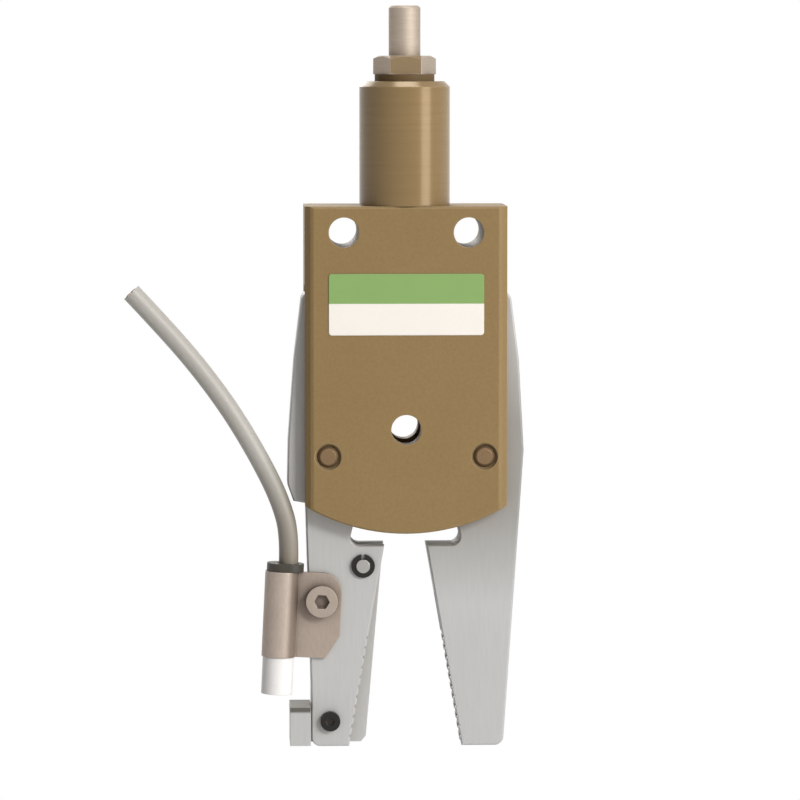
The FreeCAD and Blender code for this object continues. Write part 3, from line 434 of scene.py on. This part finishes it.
# ground steel pins: clean, cool, small glints
groundSteel = finish({
    "name": "groundSteel",
    "colour": "#B4B2AE", "dark": "#A5A29D", "fleck": "#8C8984", "worn": "#D6D4D0",
    "driftMm": 6, "grainMm": 0.3, "stretch": (1, 0.15, 1),  # 0.05 mm grinding lines, drawn coarser
    "depthMm": 0.001, "speck": 0.25, "edgeMm": 0.2, "wear": 0.6, "rough": (0.22, 0.34),
    "sockets": {"Metallic": 1.0},
})
# browned steel pivot pins: close to the dye of the body, a little darker
brownedSteel = finish({
    "name": "brownedSteelPin",
    "colour": "#8D7252", "dark": "#7C6447", "fleck": "#5F4B34", "worn": "#B19B7D",
    "driftMm": 4, "grainMm": 0.3, "depthMm": 0.001, "speck": 0.35,  # 0.05 mm etch, drawn coarser
    "edgeMm": 0.2, "wear": 0.5, "rough": (0.35, 0.5),
    "sockets": {"Metallic": 0.4, "Specular IOR Level": 0.3},
})
# drawn spring wire: slightly blue, finely mottled
drawnWire = finish({
    "name": "drawnSpringSteel",
    "colour": "#A2A4A8", "dark": "#8F9196", "fleck": "#7A7C80", "worn": "#C4C6CA",
    "driftMm": 4, "grainMm": 0.25, "depthMm": 0.001, "speck": 0.3,  # 0.05 mm die marks, drawn coarser
    "edgeMm": 0, "wear": 0, "rough": (0.25, 0.4), "sockets": {"Metallic": 1.0},
})
# nickel plate over turned brass, dulled by use: warm grey, soft shine, the front and back flats of the
# hexagon darkened as a painted dark reflection
hexFlatsDarkReflection = [((0, 0, 1), 30.9, 2.2, 0.4), ((1, 0, 0), 0.0, 3.5, 0.2)]
nickelPlate = finish({
    "name": "nickelPlatedBrass",
    "colour": "#B9AC9E", "dark": "#A89A8B", "fleck": "#968877", "worn": "#E0D6CA",
    "driftMm": 5, "grainMm": 0.5, "stretch": (0.1, 0.1, 1.5),  # 0.15 mm turning feed, drawn coarser
    "depthMm": 0.0015, "speck": 0.25, "edgeMm": 0.25, "wear": 0.6, "rough": (0.55, 0.66),
    "sockets": {"Metallic": 0.7, "Specular IOR Level": 0.2},
    "shadeAndStainBands": [{"planes": hexFlatsDarkReflection, "share": 0.85, "tone": "#7D6745"}],
})
# satin nickel on bent strip: warm beige grey, soft gloss, strong painted shade in its corners and round the
# screw head
clampPlate = finish({
    "name": "satinNickelStrip",
    "colour": "#BFB0A3", "dark": "#B2A295", "fleck": "#948477", "worn": "#D8CCC1",
    "driftMm": 7, "grainMm": 0.5, "stretch": (1, 1, 0.3),  # 0.1 mm satin scratches, drawn coarser
    "depthMm": 0.002, "speck": 0.3, "edgeMm": 0.3, "wear": 0.7, "rough": (0.36, 0.5),
    "sockets": {"Metallic": 0.3, "Specular IOR Level": 0.3},
    "paintedShadeMm": 5, "paintedShadeShare": 0.9, "paintedShade": "#5E5045",
    # painted shade in the crease where the strip leaves the barrel, and a lighter darkening over the ear and
    # its screw
    "shadeAndStainBands": [{"planes": [((0.9988, 0, -0.0488), -20.5, 1.5, 1.0)], "share": 0.65, "tone": "#6A594D"},
               {"planes": [((0.9988, 0, -0.0488), -12.8, 7.0, 1.0)], "share": 0.25, "tone": "#85766A"}],
})
# sintered bronze bush: open pores, oily sheen
sinteredBronze = finish({
    "name": "sinteredBronze",
    "colour": "#A67C45", "dark": "#8E6836", "fleck": "#4F3A1E", "worn": "#C79D62",
    "driftMm": 3, "grainMm": 0.2, "depthMm": 0.004, "speck": 0.7,  # 0.2 mm pores
    "edgeMm": 0.15, "wear": 0.5, "rough": (0.4, 0.6), "sockets": {"Metallic": 1.0},
})
# black oxide on steel screws and rings: near black, a dull shine on worn rims
blackOxide = finish({
    "name": "blackOxideSteel",
    "colour": "#1E1D1C", "dark": "#141413", "fleck": "#2B2927", "worn": "#5C5853",
    "driftMm": 3, "grainMm": 0.25, "depthMm": 0.001, "speck": 0.5,  # 0.05 mm oxide grain, drawn coarser
    "edgeMm": 0.2, "wear": 0.7, "rough": (0.35, 0.5), "sockets": {"Metallic": 0.5},
})
# moulded nitrile rubber: dull brown, dusted
nitrileRubber = finish({
    "name": "mouldedNitrile",
    "colour": "#6E5733", "dark": "#5E4927", "fleck": "#786242", "worn": "#806C4C",
    "driftMm": 4, "grainMm": 0.3, "depthMm": 0.004, "speck": 0.35,  # 0.1 mm mould texture, drawn coarser
    "edgeMm": 0.2, "wear": 0.4, "rough": (0.6, 0.8), "sockets": {"Specular IOR Level": 0.35},
})
# injection moulded PBT sensor end: off-white, fine spark-eroded texture
sensorPlastic = finish({
    "name": "mouldedWhitePbt",
    "colour": "#FAF7F4", "dark": "#F3EFEB", "fleck": "#E6E0DA", "worn": "#FCFAF8",
    "driftMm": 5, "grainMm": 0.4, "depthMm": 0.003, "speck": 0.3,  # 0.1 mm spark texture, drawn coarser
    "edgeMm": 0.3, "wear": 0.5, "rough": (0.4, 0.52), "sockets": {"IOR": 1.55},
})
# black moulded end cap: satin, slightly brown
capPlastic = finish({
    "name": "mouldedBlackNylon",
    "colour": "#342F24", "dark": "#28241B", "fleck": "#474134", "worn": "#615B4F",
    "driftMm": 4, "grainMm": 0.35, "depthMm": 0.003, "speck": 0.35,  # 0.1 mm spark texture, drawn coarser
    "edgeMm": 0.3, "wear": 0.6, "rough": (0.4, 0.55), "sockets": {"IOR": 1.53},
})
# extruded PVC sheath: warm grey, soft shine, a brownish painted shade darkening it towards the sensor end and
# near other parts
cableSheath = finish({
    "name": "extrudedGreyPvc",
    "colour": "#B8B4AC", "dark": "#ACA79F", "fleck": "#8D8779", "worn": "#C9C5BA",
    "driftMm": 14, "grainMm": 0.6, "depthMm": 0.001, "speck": 0.1,  # 0.2 mm die ripple, drawn coarser
    "edgeMm": 0, "wear": 0, "rough": (0.4, 0.55), "sockets": {"IOR": 1.53},
    "paintedShadeMm": 9, "paintedShadeShare": 0.7, "paintedShade": "#6F6A5E",
    "shadeAndStainBands": [{"planes": [((0, 0, 1), -84.0, 30.0, 24.0)], "share": 0.7, "tone": "#6F6049"}],
})
# screen-printed vinyl film: flat ink, a hint of 0.5 mm orange peel
printLook = {"driftMm": 9, "grainMm": 0.5, "depthMm": 0.002, "speck": 0.12,
             "edgeMm": 0.05, "wear": 0.3, "rough": (0.3, 0.42), "sockets": {"IOR": 1.5}}
greenPrint = finish({"name": "printedVinylGreen", **printLook,
                     "colour": "#8CAF65", "dark": "#85A75F", "fleck": "#799955", "worn": "#B4CC99"})
whitePrint = finish({"name": "printedVinylWhite", **printLook,
                     "colour": "#FCF5EC", "dark": "#F7F0E6", "fleck": "#EAE2D7", "worn": "#FBF8F3"})
# insulated cores: smooth extruded PVC in plain colours round bare copper, whose 0.2 mm strands are its grain
coreLook = {"driftMm": 2, "grainMm": 0.2, "depthMm": 0.002, "speck": 0.2, "edgeMm": 0.06, "wear": 0.3}
coreColours = {"extrudedPvcBrown": "#5A3A22", "extrudedPvcBlue": "#2F5E96", "extrudedPvcBlack": "#23211F"}
coreFinishes = [finish({"name": name, **coreLook, "rough": (0.4, 0.5),
                        "colour": code, "dark": code, "fleck": "#7A736A", "worn": "#8A847B"})
                for name, code in coreColours.items()]
coreFinishes.append(finish({"name": "bareCopperStrand", **coreLook, "rough": (0.25, 0.4),
                            "colour": "#B87348", "dark": "#A5633A", "fleck": "#6E3F22", "worn": "#D99B72",
                            "sockets": {"Metallic": 1.0}}))
print("finishes mixed")

finishOf = {
    "body_block": bronzeAnodised, "clamp_shank": bronzeTurned, "label": whitePrint,
    "air_fitting": nickelPlate, "port_seal": nitrileRubber,
    "piston": leftAluminium, "piston_seal": nitrileRubber, "piston_rod": groundSteel,
    "rod_bush": sinteredBronze, "return_spring": drawnWire,
    "drive_wedge": groundSteel, "wedge_pin": groundSteel,
    "left_jaw": leftAluminium, "right_jaw": rightAluminium, "jaw_spring": drawnWire,
    "left_pivot_pin": brownedSteel, "right_pivot_pin": brownedSteel,
    "left_pivot_bush": sinteredBronze, "right_pivot_bush": sinteredBronze,
    "left_roller": groundSteel, "right_roller": groundSteel,
    "left_roller_pin": groundSteel, "right_roller_pin": groundSteel,
    "sensing_lever": leverAluminium, "lever_pin": groundSteel, "lever_clips": blackOxide,
    "lever_spring": drawnWire, "stop_screw": blackOxide,
    "sensor_clamp": clampPlate, "clamp_screw": clampPlate, "sensor_barrel": nickelPlate,
    "sensor_tip": sensorPlastic, "sensor_cap": capPlastic, "sensor_cable": cableSheath,
}
for name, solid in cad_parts.items():
    for slot in solid.material_slots:
        slot.material = finishOf[name]
pieceFinishes = [(sensorCable, [cableSheath]), (cableCores, coreFinishes),
                 (stickerFilm, [greenPrint, whitePrint])]
pieceFinishes += [(coil, [drawnWire]) for coil in springPieces]
for piece, finishes in pieceFinishes:
    for made in finishes:
        piece.data.materials.append(made)
print("finishes laid on")

# studio: white floor well under the jaws, white surround, soft lamps, the strongest from the front right
studio = {
    "floorHeight": -0.25,
    "floorHalf": 6.0,
    "floorPaint": "#F3F3F3",
    "white": "#FFFFFF",
    "floorWhite": (0.7, 1.0),  # plain white seen in the floor, less under the gripper for its shadow
    "floorReach": (0.1, 0.6),  # metres out from under the gripper where those two shares hold
    "ambient": 0.05,
    "aim": (0.0, 0.0, -0.04),
    "lamps": [
        {"name": "keyLamp", "at": (0.84, -1.25, 0.62), "size": (0.4, 0.4), "watts": 14.7},
        {"name": "topLamp", "at": (0.05, 0.05, 1.35), "size": (0.6, 0.6), "watts": 7.0},
        {"name": "stripLamp", "at": (1.14, -0.84, 0.25), "size": (0.65, 1.1), "watts": 8.5},
        {"name": "backLamp", "at": (-0.5, 1.3, 0.7), "size": (1.0, 1.0), "watts": 9.0},
    ],
}
half, height = studio["floorHalf"], studio["floorHeight"]
floorCorners = [(-half, -half, height), (half, -half, height), (half, half, height), (-half, half, height)]
floor = meshPiece("studioFloor", floorCorners, [(0, 1, 2, 3)], smooth=False)


def seenDirectly(tree):
    # 1 for what the camera sees, also in metal and through glass
    rays = addNode(tree, "LightPath")
    shiny = addNode(tree, "Math", {"operation": "MAXIMUM"},
                    {0: rays.outputs["Is Camera Ray"], 1: rays.outputs["Is Glossy Ray"]})
    every = addNode(tree, "Math", {"operation": "MAXIMUM"},
                    {0: shiny.outputs["Value"], 1: rays.outputs["Is Transmission Ray"]})
    return every.outputs["Value"]


# matt white paint, with plain white mixed in where it is seen directly
floorPaint = bpy.data.materials.new("mattWhiteFloor")
floorPaint.use_nodes = True
tree = floorPaint.node_tree
tree.nodes.clear()
paint = addNode(tree, "BsdfDiffuse", {"Color": hexLinear(studio["floorPaint"])})
white = addNode(tree, "Emission", {"Color": hexLinear(studio["white"]), "Strength": 1.0})
reach = addNode(tree, "VectorMath", {"operation": "LENGTH"}, {0: addNode(tree, "TexCoord").outputs["Object"]})
near, far = (math.hypot(reachM, studio["floorHeight"]) for reachM in studio["floorReach"])
whiter = addNode(tree, "MapRange", {"From Min": near, "From Max": far, "To Min": studio["floorWhite"][0],
                                    "To Max": studio["floorWhite"][1]}, {"Value": reach.outputs["Value"]})
share = addNode(tree, "Math", {"operation": "MULTIPLY"}, {0: seenDirectly(tree), 1: whiter.outputs["Result"]})
mixed = addNode(tree, "MixShader", None,
                {0: share.outputs["Value"], 1: paint.outputs["BSDF"], 2: white.outputs["Emission"]})
addNode(tree, "OutputMaterial", None, {"Surface": mixed.outputs["Shader"]})
floor.data.materials.append(floorPaint)

world = bpy.data.worlds.new("studioSurround")
scene.world = world
world.use_nodes = True
tree = world.node_tree
tree.nodes.clear()
level = addNode(tree, "MapRange", {"To Min": studio["ambient"], "To Max": 1.0}, {"Value": seenDirectly(tree)})
surround = addNode(tree, "Background", {"Color": hexLinear(studio["white"])},
                   {"Strength": level.outputs["Result"]})
addNode(tree, "OutputWorld", None, {"Surface": surround.outputs["Background"]})

for lamp in studio["lamps"]:
    light = bpy.data.lights.new(lamp["name"], "AREA")
    light.shape = "RECTANGLE"
    light.size, light.size_y = lamp["size"]
    light.energy = lamp["watts"]
    lampObject = linked(lamp["name"], light)
    lampObject.location = lamp["at"]
    aim = Vector(studio["aim"]) - Vector(lamp["at"])
    lampObject.rotation_mode = "QUATERNION"
    lampObject.rotation_quaternion = aim.to_track_quat("-Z", "Y")
print("studio lit")
